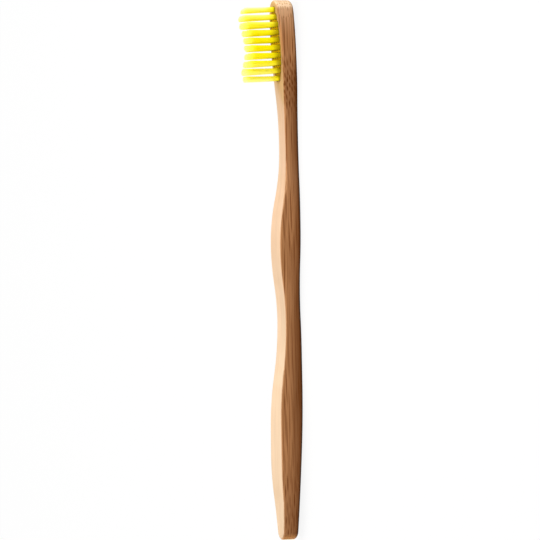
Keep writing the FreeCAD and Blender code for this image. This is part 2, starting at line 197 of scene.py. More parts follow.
# The share of the rise that is painted deep at the root as painted shade, in the middle rows and in free
# ones, where free rows are painted pale above it as painted light, how the tone differs from strand to
# strand, with a slight painted light on a row's open side, and how much light comes through a strand.
ROOT_SHADE_RISE_RANGE = {"To Min": 0.3, "To Max": 0.05}
PALE_RISE_RANGE = {"From Min": 0.0, "From Max": 0.4}
STRAND_TONE_RANGE = {"To Min": 0.98, "To Max": 1.0}
THROUGH_SHARE = 0.7

# Flat wire: how long a drawing line is, and the roughness in the scored lines and between them.
SCORE_LENGTH = 2 * MM
WIRE_ROUGHNESS_RANGE = {"To Min": 0.25, "To Max": 0.5}


def linear(code):
    """Linear RGBA of an sRGB hex colour."""
    parts = [int(code[start:start + 2], 16) / 255 for start in (0, 2, 4)]
    return (*(p / 12.92 if p <= 0.04045 else ((p + 0.055) / 1.055) ** 2.4 for p in parts), 1.0)


WHITE = linear("FFFFFF")


def colour_property(name, description, code):
    """A colour that the user can change, from its sRGB hex value."""
    return FloatVectorProperty(name=name, description=description, subtype="COLOR", size=4, min=0.0, max=1.0,
                               default=linear(code))


def length_property(name, description, millimetres):
    """A length that the user can change, from its millimetres."""
    return FloatProperty(name=name, description=description, subtype="DISTANCE", unit="LENGTH", min=0.0,
                         default=millimetres * MM, precision=5)


def power_property(name, description, watts):
    """A lamp's power that the user can change."""
    return FloatProperty(name=name, description=description, default=watts, min=0.0)


class BambooLook(bpy.types.PropertyGroup):
    """Colours and grain of the handle."""
    face_colour: colour_property("Face", "Sanded bristle face", "F8D7B2")
    neck_colour: colour_property("Neck", "Sanded bristle face on the neck", "EDC39E")
    # Painted light: the yellow between the tufts stands for the tufts' yellow light thrown onto the face.
    head_bounce_colour: colour_property("Head", "Milled face between the tufts", "FFD608")
    # Painted shade and painted light: the darker gold round the tufts stands for their shade and yellow
    # light.
    margin_shade_colour: colour_property("Margin", "Milled face round the tufts", "B89010")
    shoulder_colour: colour_property("Shoulder", "Rounded edge of the head", "D8AE78")
    nose_colour: colour_property("Nose", "End grain of the nose", "F7D2AA")
    tail_colour: colour_property("Tail", "End grain of the tail", "F2A45C")
    side_colour: colour_property("Side", "Sawn sides near the bristle face", "CC8E5C")
    # Partly painted shade: low on the sides this stands for the shade under the brush as well as the culm's
    # skin.
    back_and_shade_colour: colour_property("Back", "Sawn sides and back, nearer the skin of the culm", "743E12")
    # Painted shade: the near-black on the lower edges stands for the shadow under the brush.
    edge_shade_colour: colour_property("Edge", "Lower edges, with a line of the culm's skin", "1A0A00")
    fibre_colour: colour_property("Fibre", "Fibre bundles on the sides", "763C08")
    face_fibre_colour: colour_property("Face fibre", "Fibre bundles on the bristle face", "DDB382")
    end_fibre_colour: colour_property("End fibre", "Fibre bundles cut across on the ends", "CC9460")
    bundle_spacing: length_property("Bundle spacing", "Distance between fibre bundles", 0.9)
    bundle_length: length_property("Bundle length", "Length of a streak and of the gap after it", 30.0)
    # Single fibres are too fine to show in the render, so the fine streaks are drawn about a pixel wide.
    fibre_width: length_property("Fibre width", "Width of a fine streak", 0.36)
    fibre_length: length_property("Fibre length", "Length of a fine streak", 18.0)
    fibre_depth: length_property("Fibre depth", "How far a fine streak reaches into the wood", 3.0)
    # Painted shade: the dark brown round each hole stands for the shade at the tufts' roots.
    rim_shade_colour: colour_property("Rim", "Burr round each drilled hole", "4A2E00")
    rim_width: length_property("Rim width", "Width of the burr round a hole", 0.28)
    rim_height: length_property("Rim height", "Height of the burr round a hole", 0.05)
    runout: length_property("Run-out", "How far the fibres move across the brush where they slant", 5.0)
    fibre_relief: length_property("Fibre relief", "Height of the grain left by sanding", 0.03)


class BristleLook(bpy.types.PropertyGroup):
    """Sizes and colours of the tufts."""
    filament_diameter: length_property("Filament diameter", "Thickness of one nylon filament", 0.17)
    filament_sides: IntProperty(name="Filament sides", description="Sides of a filament's mesh",
                                default=6, min=4)
    seat_depth: length_property("Seat depth", "How deep a tuft sits in its hole", 3.17)
    anchor_depth: length_property("Anchor depth", "Depth of the anchor's lower edge", 2.5)
    anchor_height: length_property("Anchor height", "Height of the anchor", 1.4)
    anchor_thickness: length_property("Anchor thickness", "Thickness of the anchor", 0.25)
    tip_crown: length_property("Tip crown", "How much shorter a tuft's outer filaments are", 0.35)
    tip_slant: length_property("Tip slant", "How much of a tuft the steepest trim takes off", 1.9)
    tip_lean: length_property("Tip lean", "How far tips have moved along the brush", 0.35)
    tip_scatter: length_property("Tip scatter", "How unevenly the filaments stand", 0.06)
    # Painted shade: the deep yellow at the roots stands for the shade among the packed strands.
    root_shade_colour: colour_property("Root", "Filament near the head", "DCCE00")
    middle_colour: colour_property("Middle", "Filament halfway", "FBF60C")
    # Painted light: the pale tips stand for light shining through the thin ends of the strands.
    tip_light_colour: colour_property("Tip", "Rounded filament ends", "FFFFD8")
    # Painted light: the pale outer strands stand for the light falling on the open side of the free rows.
    outer_light_colour: colour_property("Outer", "Outer filaments of the rows that stand free", "FFFFE6")
    # Painted glow: besides the pigment's fluorescence, this glow lifts the shade between the strands.
    fluorescence_and_painted_glow: FloatProperty(name="Fluorescence", description="Light that the pigment returns of its own",
                                default=0.3, min=0.0)


class AnchorLook(bpy.types.PropertyGroup):
    """Finish of the anchors."""
    wire_colour: colour_property("Wire", "Flat brass wire", "C9A15A")
    cut_colour: colour_property("Cut", "Scored and tarnished wire", "8C6A35")
    # Real drawing lines are too fine to show, so they are drawn coarser here.
    score_spacing: length_property("Score spacing", "Distance between drawing lines", 0.12)


class StudioLook(bpy.types.PropertyGroup):
    """Camera, floor and lamps."""
    elevation: FloatProperty(name="Elevation", description="Camera angle above the floor", subtype="ANGLE",
                             default=math.radians(19.0))
    roll: FloatProperty(name="Roll", description="Camera turn about its view", subtype="ANGLE",
                        default=math.radians(0.74))
    frame_height: length_property("Frame height", "Length that fills the picture's height", 190.0)
    aim_height: length_property("Aim height", "Height of the picture's middle above the floor", 10.2)
    lens: FloatProperty(name="Lens", description="Focal length in millimetres", default=250.0, min=1.0)
    floor_colour: colour_property("Floor", "Matt white floor, as it lights the brush", "747472")
    floor_glow: FloatProperty(name="Floor white", description="Share of plain white that the camera sees",
                              subtype="FACTOR", default=0.89, min=0.0, max=1.0)
    sky_level: FloatProperty(name="Sky", description="Level of the even studio light", default=0.34, min=0.0)
    key_power: power_property("Key power", "Power of the overhead softbox in watts", 3.5)
    top_power: power_property("Top power", "Power of the softbox beyond the head in watts", 6.5)
    tail_power: power_property("Tail power", "Power of the softbox beyond the tail in watts", 1.8)
    side_power: power_property("Side power", "Power of the softbox beside the brush in watts", 3.0)


def add_node(tree, kind, settings=None, inputs=None):
    """Adds a node, and sets its properties and its inputs, by value or by a link."""
    node = tree.nodes.new(kind)
    for name, value in (settings or {}).items():
        setattr(node, name, value)
    for name, value in (inputs or {}).items():
        if isinstance(value, bpy.types.NodeSocket):
            tree.links.new(value, node.inputs[name])
        else:
            node.inputs[name].default_value = value
    return node


def new_material(name):
    """An empty material with its shader linked to the output."""
    material = bpy.data.materials.new(name)
    material.use_nodes = True
    tree = material.node_tree
    tree.nodes.clear()
    shader = add_node(tree, "ShaderNodeBsdfPrincipled")
    add_node(tree, "ShaderNodeOutputMaterial", inputs={"Surface": shader.outputs["BSDF"]})
    return material, tree, shader


class HandleZones:
    """Where a point of the handle lies and which zone of its surface that is, as sockets of a node tree.

    A zone's socket is one inside the zone and zero outside it, with a soft edge.
    """

    def __init__(self, tree):
        coordinates = add_node(tree, "ShaderNodeTexCoord")
        self.place = coordinates.outputs["Object"]
        self.x, self.y, self.z = add_node(tree, "ShaderNodeSeparateXYZ", inputs={0: self.place}).outputs
        facing = add_node(tree, "ShaderNodeSeparateXYZ", inputs={0: coordinates.outputs["Normal"]})
        headward, sideward, self.upward = facing.outputs
        self.sidelong = add_node(tree, "ShaderNodeMath", UNSIGNED, {0: sideward}).outputs[0]

        # The bristle face and both ends. The neck's edges were sanded rounder, so its face is narrower.
        self.neck = add_node(tree, "ShaderNodeMapRange", SMOOTH, {"Value": self.x, **NECK_RANGE}).outputs[0]
        rounder = add_node(tree, "ShaderNodeMath", TIMES, {0: self.neck, 1: -NECK_ROUNDING}).outputs[0]
        squarely_up = add_node(tree, "ShaderNodeMath", TIMES_PLUS,
                               {0: self.sidelong, 1: rounder, 2: self.upward}).outputs[0]
        self.face = add_node(tree, "ShaderNodeMapRange", SMOOTH,
                             {"Value": squarely_up, **FACE_RANGE}).outputs[0]
        self.nose = add_node(tree, "ShaderNodeMapRange", SMOOTH, {"Value": headward, **NOSE_RANGE}).outputs[0]
        self.tail = add_node(tree, "ShaderNodeMapRange", SMOOTH, {"Value": headward, **TAIL_RANGE}).outputs[0]
        self.end = add_node(tree, "ShaderNodeMath", LARGER, {0: self.nose, 1: self.tail}).outputs[0]

        # The head, which starts a little askew across the neck, and the oval field of tufts on it.
        self.neck_side = add_node(tree, "ShaderNodeMath", TIMES, {0: self.neck, 1: self.y}).outputs[0]
        head_place = add_node(tree, "ShaderNodeMath", TIMES_PLUS,
                              {0: self.neck_side, 1: HEAD_ASKEW, 2: self.x}).outputs[0]
        self.head = add_node(tree, "ShaderNodeMapRange", SMOOTH,
                             {"Value": head_place, **HEAD_RANGE}).outputs[0]
        oval = add_node(tree, "ShaderNodeVectorMath", TIMES_PLUS,
                        {0: self.place, 1: FIELD_SCALE, 2: FIELD_SHIFT}).outputs[0]
        self.off_field = add_node(tree, "ShaderNodeVectorMath", {"operation": "LENGTH"},
                                  {0: oval}).outputs["Value"]
        self.field = add_node(tree, "ShaderNodeMapRange", SMOOTH,
                              {"Value": self.off_field, **FIELD_RANGE}).outputs[0]


def fibre_paths(tree, look, zones):
    """Places along the wood's fibres, and how much their cut ends darken the surface.

    Fibres wander a little on their way along the brush, and run out at a slant on the neck and the tail.
    """
    wander = add_node(tree, "ShaderNodeTexNoise",
                      inputs={"Vector": zones.place, "Scale": 1 / WANDER_LENGTH, "Detail": 1.0})
    shift = add_node(tree, "ShaderNodeVectorMath", MINUS,
                     {0: wander.outputs["Color"], 1: NOISE_MIDDLE}).outputs[0]
    shift = add_node(tree, "ShaderNodeVectorMath", TIMES, {0: shift, 1: WANDER_REACH}).outputs[0]
    fibre_place = add_node(tree, "ShaderNodeVectorMath", PLUS, {0: zones.place, 1: shift}).outputs[0]
    cut_ends = 0.0
    for start, stop, darker in RUNOUTS:
        share = add_node(tree, "ShaderNodeMapRange", SMOOTH,
                         {"Value": zones.x, "From Min": start, "From Max": stop}).outputs[0]
        slant = add_node(tree, "ShaderNodeMath", TIMES, {0: share, 1: -look.runout}).outputs[0]
        slant = add_node(tree, "ShaderNodeCombineXYZ", inputs={"Y": slant}).outputs[0]
        fibre_place = add_node(tree, "ShaderNodeVectorMath", PLUS, {0: fibre_place, 1: slant}).outputs[0]
        rest = add_node(tree, "ShaderNodeMath", TIMES_PLUS, {0: share, 1: -darker, 2: darker}).outputs[0]
        cut_ends = add_node(tree, "ShaderNodeMath", TIMES_PLUS, {0: share, 1: rest, 2: cut_ends}).outputs[0]
    return fibre_place, cut_ends


def bundle_streaks(tree, look, zones, fibre_place, cut_ends):
    """How dark the bundles of fibre are, which are threads in the paler wood.

    The ends cut them into dots. The sides show one layer of them, as long streaks that turn into dashes where
    the fibres run out.
    """
    across = add_node(tree, "ShaderNodeSeparateXYZ", inputs={0: fibre_place})
    drift = add_node(tree, "ShaderNodeMath", MINUS, {0: across.outputs["Y"], 1: zones.y}).outputs[0]
    step = -look.bundle_spacing / look.bundle_length
    layer = add_node(tree, "ShaderNodeMath", TIMES_PLUS, {0: zones.x, 1: step, 2: drift}).outputs[0]
    layer = add_node(tree, "ShaderNodeMath", TIMES_PLUS,
                     {0: across.outputs["Z"], 1: STREAK_STAGGER, 2: layer}).outputs[0]
    on_side = add_node(tree, "ShaderNodeMath", MINUS, {0: zones.sidelong, 1: zones.end}).outputs[0]
    on_side = add_node(tree, "ShaderNodeMath", ABOVE, {0: on_side, 1: SIDE_LIMIT}).outputs[0]
    lane = add_node(tree, "ShaderNodeMix", NUMBERS,
                    {SHARE: on_side, NUMBER_A: across.outputs["Y"], NUMBER_B: layer}).outputs[NUMBER_OUT]
    section = add_node(tree, "ShaderNodeCombineXYZ", inputs={"X": lane, "Y": across.outputs["Z"]}).outputs[0]
    bundle = add_node(tree, "ShaderNodeTexVoronoi", {"voronoi_dimensions": "2D"},
                      {"Vector": section, "Scale": 1 / look.bundle_spacing, "Randomness": BUNDLE_STRAY})
    dark = add_node(tree, "ShaderNodeMapRange", SMOOTH,
                    {"Value": bundle.outputs["Distance"], **BUNDLE_RANGE}).outputs[0]

    # Some bundles are darker than others, and those that are cut across are the darkest.
    weight_scale = (1 / look.bundle_length, 1 / look.bundle_spacing, 1 / look.bundle_spacing)
    weight_place = add_node(tree, "ShaderNodeVectorMath", TIMES, {0: fibre_place, 1: weight_scale}).outputs[0]
    weight = add_node(tree, "ShaderNodeTexNoise",
                      inputs={"Vector": weight_place, "Scale": 1.0, "Detail": 0.0})
    weight = add_node(tree, "ShaderNodeMapRange",
                      inputs={"Value": weight.outputs["Fac"], **BUNDLE_WEIGHT_RANGE}).outputs[0]
    weight = add_node(tree, "ShaderNodeMath", LARGER, {0: weight, 1: zones.end}).outputs[0]
    cut_weight = add_node(tree, "ShaderNodeMath", TIMES, {0: cut_ends, 1: CUT_WEIGHT}).outputs[0]
    weight = add_node(tree, "ShaderNodeMath", LARGER, {0: weight, 1: cut_weight}).outputs[0]
    return add_node(tree, "ShaderNodeMath", TIMES, {0: dark, 1: weight}).outputs[0]


def fine_grain(tree, look, zones, fibre_place):
    """Noise of the fine streaks.

    They lie in thin layers, so they run straight along the sides and along the face.
    """
    flat = add_node(tree, "ShaderNodeMath", UNSIGNED, {0: zones.upward}).outputs[0]
    flat = add_node(tree, "ShaderNodeMath", ABOVE, {0: flat, 1: FLAT_LIMIT}).outputs[0]
    side_scale = (1 / look.fibre_length, 1 / look.fibre_depth, 1 / look.fibre_width)
    face_scale = (1 / look.fibre_length, 1 / look.fibre_width, 1 / look.fibre_depth)
    scale = add_node(tree, "ShaderNodeMix", VECTORS,
                     {SHARE: flat, VECTOR_A: side_scale, VECTOR_B: face_scale}).outputs[VECTOR_OUT]
    place = add_node(tree, "ShaderNodeVectorMath", TIMES, {0: fibre_place, 1: scale}).outputs[0]
    return add_node(tree, "ShaderNodeTexNoise",
                    inputs={"Vector": place, "Scale": 1.0, "Detail": 0.5}).outputs["Fac"]


def streak_strength(tree, zones):
    """Streaks are strong on the sides and faint on the sanded face, except where it slopes on the head."""
    on_face = FACE_STRENGTH
    for share, over in ((zones.head, SLOPE_STRENGTH), (zones.field, FIELD_STRENGTH)):
        on_face = add_node(tree, "ShaderNodeMix", NUMBERS,
                           {SHARE: share, NUMBER_A: on_face, NUMBER_B: over}).outputs[NUMBER_OUT]
    return add_node(tree, "ShaderNodeMix", NUMBERS,
                    {SHARE: zones.face, NUMBER_A: SIDE_STRENGTH, NUMBER_B: on_face}).outputs[NUMBER_OUT]


def side_ground(tree, look, zones):
    """Colour of the sides between their streaks.

    They darken towards the back, partly because that wood lay nearer the skin of the culm and partly as
    painted shade of the underside near the floor. Their lower edges are painted near-black as painted shade.
    The head was cut from deeper wood.
    """
    # Darker low on the sides and at the back: partly the culm's skin, partly painted shade near the floor.
    skin = add_node(tree, "ShaderNodeMapRange", SMOOTH, {"Value": zones.x, **SKIN_AND_SHADE_SHARE_RANGE}).outputs[0]
    reach = add_node(tree, "ShaderNodeMapRange", SMOOTH, {"Value": zones.x, **SKIN_AND_SHADE_DEPTH_RANGE}).outputs[0]
    reach = add_node(tree, "ShaderNodeMath", TIMES, {0: skin, 1: reach}).outputs[0]
    depth = add_node(tree, "ShaderNodeMapRange", SMOOTH,
                     {"Value": zones.z, "From Min": 0.0, "From Max": reach}).outputs[0]
    # The lower edges are painted near-black: painted shade where they face the floor.
    edge = add_node(tree, "ShaderNodeMapRange", SMOOTH,
                    {"Value": zones.upward, **LOWER_EDGE_SHADE_RANGE}).outputs[0]
    back = add_node(tree, "ShaderNodeMapRange", SMOOTH,
                    {"Value": zones.upward, **FLAT_BACK_RANGE}).outputs[0]
    edge = add_node(tree, "ShaderNodeMath", {**MINUS, "use_clamp": True}, {0: edge, 1: back}).outputs[0]
    edge = add_node(tree, "ShaderNodeMath", TIMES, {0: edge, 1: skin}).outputs[0]
    colour = look.back_and_shade_colour
    for share, over in ((depth, look.side_colour), (edge, look.edge_shade_colour)):
        colour = add_node(tree, "ShaderNodeMix", COLOURS,
                          {SHARE: share, COLOUR_A: colour, COLOUR_B: over}).outputs[COLOUR_OUT]
    return colour


def face_ground(tree, look, zones):
    """Colour of the bristle face: pale on the handle and browner on the neck, where its -Y side is darker as
    painted shade, and yellow among the tufts, which is painted yellow light from the tufts, with painted
    shade in the margin round them.
    """
    # The browner face reaches further on the -Y side of the neck: painted shade.
    neck_place = add_node(tree, "ShaderNodeMath", TIMES_PLUS,
                          {0: zones.neck_side, 1: BROWNER_SHADE_ASKEW, 2: zones.x}).outputs[0]
    browner = add_node(tree, "ShaderNodeMapRange", SMOOTH, {"Value": neck_place, **BROWNER_RANGE}).outputs[0]
    # The margin round the tufts darkens the painted yellow light there as painted shade.
    margin = add_node(tree, "ShaderNodeMapRange", SMOOTH,
                      {"Value": zones.off_field, **MARGIN_SHADE_RANGE}).outputs[0]
    among = add_node(tree, "ShaderNodeMix", COLOURS, {SHARE: margin, COLOUR_A: look.head_bounce_colour,
                                                      COLOUR_B: look.margin_shade_colour}).outputs[COLOUR_OUT]
    colour = look.face_colour
    layers = ((browner, look.neck_colour), (zones.head, look.shoulder_colour), (zones.field, among))
    for share, over in layers:
        colour = add_node(tree, "ShaderNodeMix", COLOURS,
                          {SHARE: share, COLOUR_A: colour, COLOUR_B: over}).outputs[COLOUR_OUT]
    return colour


def streak_colour(tree, look, zones):
    """Colour of the streaks: dark on the sides and among the tufts, paler on the ends and the sanded face."""
    colour = add_node(tree, "ShaderNodeMix", COLOURS, {SHARE: zones.end, COLOUR_A: look.fibre_colour,
                                                       COLOUR_B: look.end_fibre_colour}).outputs[COLOUR_OUT]
    on_face = add_node(tree, "ShaderNodeMix", COLOURS, {SHARE: zones.field, COLOUR_A: look.face_fibre_colour,
                                                        COLOUR_B: look.fibre_colour}).outputs[COLOUR_OUT]
    return add_node(tree, "ShaderNodeMix", COLOURS,
                    {SHARE: zones.face, COLOUR_A: colour, COLOUR_B: on_face}).outputs[COLOUR_OUT]


def bamboo_material(look):
    """Bamboo, milled and fine-sanded.

    Fibre bundles run along the brush. They show as streaks on the sides, as dashes where a surface cuts
    across them and as dots on the end grain. The broad face is sanded pale, and the sides are browner.
    """
    material, tree, shader = new_material("Bamboo, milled and sanded")
    zones = HandleZones(tree)
    fibre_place, cut_ends = fibre_paths(tree, look, zones)
    fine = fine_grain(tree, look, zones, fibre_place)

    # Bundles, fine streaks and cut ends add up to how dark a point is.
    dark = bundle_streaks(tree, look, zones, fibre_place, cut_ends)
    fine_dark = add_node(tree, "ShaderNodeMapRange", SMOOTH, {"Value": fine, **FINE_RANGE}).outputs[0]
    fine_share = add_node(tree, "ShaderNodeMapRange",
                          inputs={"Value": zones.end, **FINE_SHARE_RANGE}).outputs[0]
    dark = add_node(tree, "ShaderNodeMath", TIMES_PLUS, {0: fine_dark, 1: fine_share, 2: dark}).outputs[0]
    dark = add_node(tree, "ShaderNodeMath", PLUS, {0: cut_ends, 1: dark}).outputs[0]
    dark = add_node(tree, "ShaderNodeMath", {**TIMES, "use_clamp": True},
                    {0: dark, 1: streak_strength(tree, zones)}).outputs[0]

    # Each zone's colour lies over the one before it, and the streaks lie over them all.
    colour = side_ground(tree, look, zones)
    layers = ((zones.nose, look.nose_colour), (zones.tail, look.tail_colour),
              (zones.face, face_ground(tree, look, zones)), (dark, streak_colour(tree, look, zones)))
    for share, over in layers:
        colour = add_node(tree, "ShaderNodeMix", COLOURS,
                          {SHARE: share, COLOUR_A: colour, COLOUR_B: over}).outputs[COLOUR_OUT]

    # Growth differs slowly along the culm.
    place = add_node(tree, "ShaderNodeVectorMath", TIMES, {0: fibre_place, 1: GROWTH_SCALE}).outputs[0]
    growth = add_node(tree, "ShaderNodeTexNoise", inputs={"Vector": place, "Scale": 1.0, "Detail": 1.0})
    tone = add_node(tree, "ShaderNodeMapRange",
                    inputs={"Value": growth.outputs["Fac"], **GROWTH_RANGE}).outputs[0]
    colour = add_node(tree, "ShaderNodeMix", TINT,
                      {SHARE: 1.0, COLOUR_A: colour, COLOUR_B: tone}).outputs[COLOUR_OUT]

    rough = add_node(tree, "ShaderNodeMapRange", inputs={"Value": fine, **SANDED_ROUGHNESS_RANGE}).outputs[0]
    rough = add_node(tree, "ShaderNodeMix", NUMBERS,
                     {SHARE: zones.head, NUMBER_A: rough, NUMBER_B: MILLED_ROUGHNESS}).outputs[NUMBER_OUT]
    bump = add_node(tree, "ShaderNodeBump",
                    inputs={"Strength": 0.35, "Distance": look.fibre_relief, "Height": fine})
    tree.links.new(colour, shader.inputs["Base Color"])
    tree.links.new(rough, shader.inputs["Roughness"])
    tree.links.new(bump.outputs["Normal"], shader.inputs["Normal"])
    shader.inputs["IOR"].default_value = 1.45
    shader.inputs["Specular IOR Level"].default_value = 0.15
    return material


def burr_material(look):
    """Bamboo torn by the drill: dull, with fibres standing up. Its dark brown is painted shade at the tufts'
    roots, and its torn fibres take the painted yellow light of the face between the tufts.
    """
    material, tree, shader = new_material("Bamboo, torn by the drill")
    place = add_node(tree, "ShaderNodeTexCoord").outputs["Object"]
    torn = add_node(tree, "ShaderNodeTexNoise",
                    inputs={"Vector": place, "Scale": 1 / look.rim_width, "Detail": 2.0})
    torn = add_node(tree, "ShaderNodeMapRange",
                    inputs={"Value": torn.outputs["Fac"], **TORN_RANGE}).outputs[0]
    colour = add_node(tree, "ShaderNodeMix", COLOURS,
                      {SHARE: torn, COLOUR_A: look.rim_shade_colour, COLOUR_B: look.head_bounce_colour})
    tree.links.new(colour.outputs[COLOUR_OUT], shader.inputs["Base Color"])
    shader.inputs["Roughness"].default_value = 0.9
    return material


def nylon_material(look):
    """Nylon filament, drawn, trimmed and end-rounded.

    Light soaks through the thin strands, and they glow a little: partly their fluorescent yellow pigment,
    partly painted glow that lifts the shade between them. They are painted deep yellow at the root as painted
    shade and pale at the tip as painted light.
    """
    material, tree, shader = new_material("Nylon filament, drawn and end-rounded")
    strand = add_node(tree, "ShaderNodeUVMap", {"uv_map": "strand"})
    strand = add_node(tree, "ShaderNodeSeparateXYZ", inputs={0: strand.outputs["UV"]})
    outward = strand.outputs["X"]
    rise = strand.outputs["Y"]
    place = add_node(tree, "ShaderNodeTexCoord").outputs["Object"]
    place = add_node(tree, "ShaderNodeSeparateXYZ", inputs={0: place})

    # The roots are painted deep yellow as painted shade. Light reaches nearer to the roots in rows that stand
    # free, towards the ends of the field, so that painted shade is shorter there.
    off_middle = add_node(tree, "ShaderNodeMath", MINUS, {0: place.outputs["X"], 1: FIELD_MIDDLE}).outputs[0]
    off_middle = add_node(tree, "ShaderNodeMath", UNSIGNED, {0: off_middle}).outputs[0]
    free = add_node(tree, "ShaderNodeMapRange", SMOOTH, {"Value": off_middle, **FREE_ROW_RANGE}).outputs[0]
    root_rise = add_node(tree, "ShaderNodeMapRange", inputs={"Value": free, **ROOT_SHADE_RISE_RANGE}).outputs[0]
    above_root = add_node(tree, "ShaderNodeMapRange", SMOOTH,
                          {"Value": rise, "From Min": 0.0, "From Max": root_rise}).outputs[0]

    # The strands on the open side of such a row are painted pale from above the root: painted light on that
    # side.
    pale = add_node(tree, "ShaderNodeMath", TIMES, {0: free, 1: outward}).outputs[0]
    pale_rise = add_node(tree, "ShaderNodeMapRange", SMOOTH, {"Value": rise, **PALE_RISE_RANGE}).outputs[0]
    pale = add_node(tree, "ShaderNodeMath", TIMES, {0: pale, 1: pale_rise}).outputs[0]

    # Tips are painted pale as painted light shining through their thin ends, and paler still towards the side
    # of the head that the overhead light comes from.
    tip = add_node(tree, "ShaderNodeMapRange", inputs={"Value": rise, **TIP_RANGE}).outputs[0]
    tip = add_node(tree, "ShaderNodeMath", {"operation": "POWER"}, {0: tip, 1: TIP_POWER}).outputs[0]
    lit_tip_side = add_node(tree, "ShaderNodeMapRange",
                        inputs={"Value": place.outputs["Y"], **TIP_LIGHT_SIDE_RANGE}).outputs[0]
    tip = add_node(tree, "ShaderNodeMath", TIMES, {0: tip, 1: lit_tip_side}).outputs[0]

    colour = look.root_shade_colour
    for share, over in ((above_root, look.middle_colour), (pale, look.outer_light_colour), (tip, look.tip_light_colour)):
        colour = add_node(tree, "ShaderNodeMix", COLOURS,
                          {SHARE: share, COLOUR_A: colour, COLOUR_B: over}).outputs[COLOUR_OUT]
    tone = add_node(tree, "ShaderNodeMapRange", inputs={"Value": outward, **STRAND_TONE_RANGE}).outputs[0]
    colour = add_node(tree, "ShaderNodeMix", TINT,
                      {SHARE: 1.0, COLOUR_A: colour, COLOUR_B: tone}).outputs[COLOUR_OUT]
    tree.links.new(colour, shader.inputs["Base Color"])
    # The glow is partly the pigment's fluorescence and partly painted light that lifts the shade between
    # strands.
    tree.links.new(colour, shader.inputs["Emission Color"])
    shader.inputs["Emission Strength"].default_value = look.fluorescence_and_painted_glow
    shader.inputs["Roughness"].default_value = 0.38
    shader.inputs["IOR"].default_value = 1.53
    shader.inputs["Specular IOR Level"].default_value = 0.4
    through = add_node(tree, "ShaderNodeBsdfTranslucent", inputs={"Color": colour})
    mixed = add_node(tree, "ShaderNodeMixShader",
                     inputs={0: THROUGH_SHARE, 1: shader.outputs["BSDF"], 2: through.outputs["BSDF"]})
    tree.links.new(mixed.outputs[0], tree.nodes["Material Output"].inputs["Surface"])
    return material


def brass_material(look):
    """Brass flat wire, drawn and cut: dull yellow metal with fine lines and a little tarnish."""
    material, tree, shader = new_material("Brass flat wire, drawn and cut")
    place = add_node(tree, "ShaderNodeTexCoord").outputs["Object"]
    line_scale = (1 / SCORE_LENGTH, 1 / look.score_spacing, 1 / look.score_spacing)
    place = add_node(tree, "ShaderNodeVectorMath", TIMES, {0: place, 1: line_scale}).outputs[0]
    lines = add_node(tree, "ShaderNodeTexNoise",
                     inputs={"Vector": place, "Scale": 1.0, "Detail": 3.0}).outputs["Fac"]
    colour = add_node(tree, "ShaderNodeMix", COLOURS,
                      {SHARE: lines, COLOUR_A: look.cut_colour, COLOUR_B: look.wire_colour})
    rough = add_node(tree, "ShaderNodeMapRange", inputs={"Value": lines, **WIRE_ROUGHNESS_RANGE}).outputs[0]
    tree.links.new(colour.outputs[COLOUR_OUT], shader.inputs["Base Color"])
    tree.links.new(rough, shader.inputs["Roughness"])
    shader.inputs["Metallic"].default_value = 1.0
    return material


def floor_material(look):
    """Matt white board: plain white to the camera, with a faint shadow where the brush lies."""
    material, tree, shader = new_material("Matt white board")
    seen = white_share(tree)
    colour = add_node(tree, "ShaderNodeMix", COLOURS,
                      {SHARE: seen, COLOUR_A: look.floor_colour, COLOUR_B: WHITE}).outputs[COLOUR_OUT]
    tree.links.new(colour, shader.inputs["Base Color"])
    shader.inputs["Roughness"].default_value = 1.0
    shader.inputs["Specular IOR Level"].default_value = 0.0
    white = add_node(tree, "ShaderNodeEmission", inputs={"Color": WHITE, "Strength": 1.0})
    share = add_node(tree, "ShaderNodeMath", TIMES, {0: seen, 1: look.floor_glow}).outputs[0]
    mixed = add_node(tree, "ShaderNodeMixShader",
                     inputs={0: share, 1: shader.outputs["BSDF"], 2: white.outputs["Emission"]})
    tree.links.new(mixed.outputs[0], tree.nodes["Material Output"].inputs["Surface"])
    return material


def white_share(tree):
    """One for rays that see the stage itself: from the camera, a reflection or clear glass."""
    path = add_node(tree, "ShaderNodeLightPath")
    mirrored = add_node(tree, "ShaderNodeMath", LARGER,
                        {0: path.outputs["Is Glossy Ray"], 1: path.outputs["Is Transmission Ray"]}).outputs[0]
    return add_node(tree, "ShaderNodeMath", LARGER,
                    {0: path.outputs["Is Camera Ray"], 1: mirrored}).outputs[0]


def tuft_nodes():
    """Names of the tufts' nodes, in order."""
    return [node for node in sorted(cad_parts) if node.startswith("tuft_r")]


class TuftPlan:
    """Place and sizes of one tuft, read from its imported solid."""

    def __init__(self, node, look):
        corners = np.array([vertex.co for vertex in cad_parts[node].data.vertices], float)
        lowest = corners[corners[:, 2] < corners[:, 2].min() + look.tip_crown]
        root = lowest.mean(axis=0)
        apex = corners[np.argmax(np.linalg.norm(corners - root, axis=1))]
        self.axis = apex - root
        self.axis /= np.linalg.norm(self.axis)
        heights = (corners - root) @ self.axis
        root_end = root + self.axis * heights.min()
        self.face = root_end + self.axis * look.seat_depth
        self.length = float((apex - self.face) @ self.axis)
        self.across = np.array((0.0, 1.0, 0.0))
        self.along = np.cross(self.across, self.axis)
        reach = corners - self.face
        flat = reach - np.outer(reach @ self.axis, self.axis)
        radii = np.linalg.norm(flat, axis=1)
        self.root_radius = float(radii[heights < look.seat_depth * ROOT_SHARE].max())
        self.tip_radius = float(radii.max())

    def point(self, along, across, height):
        """A point of the tuft, from the middle of its hole on the head's face."""
        return self.face + self.along * along + self.across * across + self.axis * height


